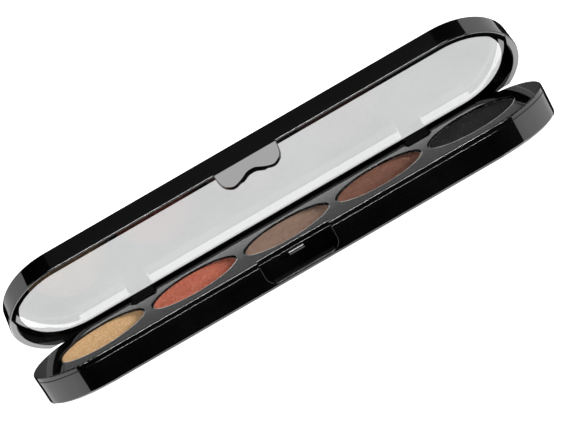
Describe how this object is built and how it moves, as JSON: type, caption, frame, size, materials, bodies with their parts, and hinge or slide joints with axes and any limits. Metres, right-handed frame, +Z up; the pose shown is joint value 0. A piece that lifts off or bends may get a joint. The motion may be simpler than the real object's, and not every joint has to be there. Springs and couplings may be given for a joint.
{
  "type": "eyeshadow palette",
  "caption": "Long round-ended eyeshadow palette with pressed powders in metal pans, a hinged clear-window lid and a snap clasp tab.",
  "frame": {"origin": "centre of the base's flat underside", "axes": "+X along the length of the palette, -Y towards the user at the clasp side, +Z up out of the pans"},
  "size_m": [0.1582, 0.0446, 0.0365],
  "materials": {
    "black_plastic": "high gloss black moulded plastic",
    "clear_plastic": "clear polished plastic",
    "pan_metal": "thin pressed aluminium, dull",
    "pin_steel": "drawn steel pin",
    "glue": "hot-melt adhesive disc",
    "powder_gold": "pressed powder, satin beige gold",
    "powder_coral": "pressed powder, coral with gold shimmer",
    "powder_taupe": "pressed powder, taupe satin",
    "powder_brown": "pressed powder, warm brown",
    "powder_black": "pressed powder, matte black"
  },
  "bodies": {
    "base": {"base_shell": "black_plastic", "pan_tray": "black_plastic", "pan_1": "pan_metal", "pan_2": "pan_metal", "pan_3": "pan_metal", "pan_4": "pan_metal", "pan_5": "pan_metal", "powder_1": "powder_gold", "powder_2": "powder_coral", "powder_3": "powder_taupe", "powder_4": "powder_brown", "powder_5": "powder_black", "glue_discs": "glue", "hinge_pin_left": "pin_steel", "hinge_pin_right": "pin_steel"},
    "lid": {"lid_frame": "black_plastic", "lid_window": "clear_plastic", "clasp_tab": "black_plastic"}
  },
  "joints": [
    {"name": "lid_hinge", "type": "hinge", "parent": "base", "child": "lid", "pos_m": [0, 0.0152, 0.0051], "axis": [-1, 0, 0], "range_deg": [-45, 45]}
  ]
}
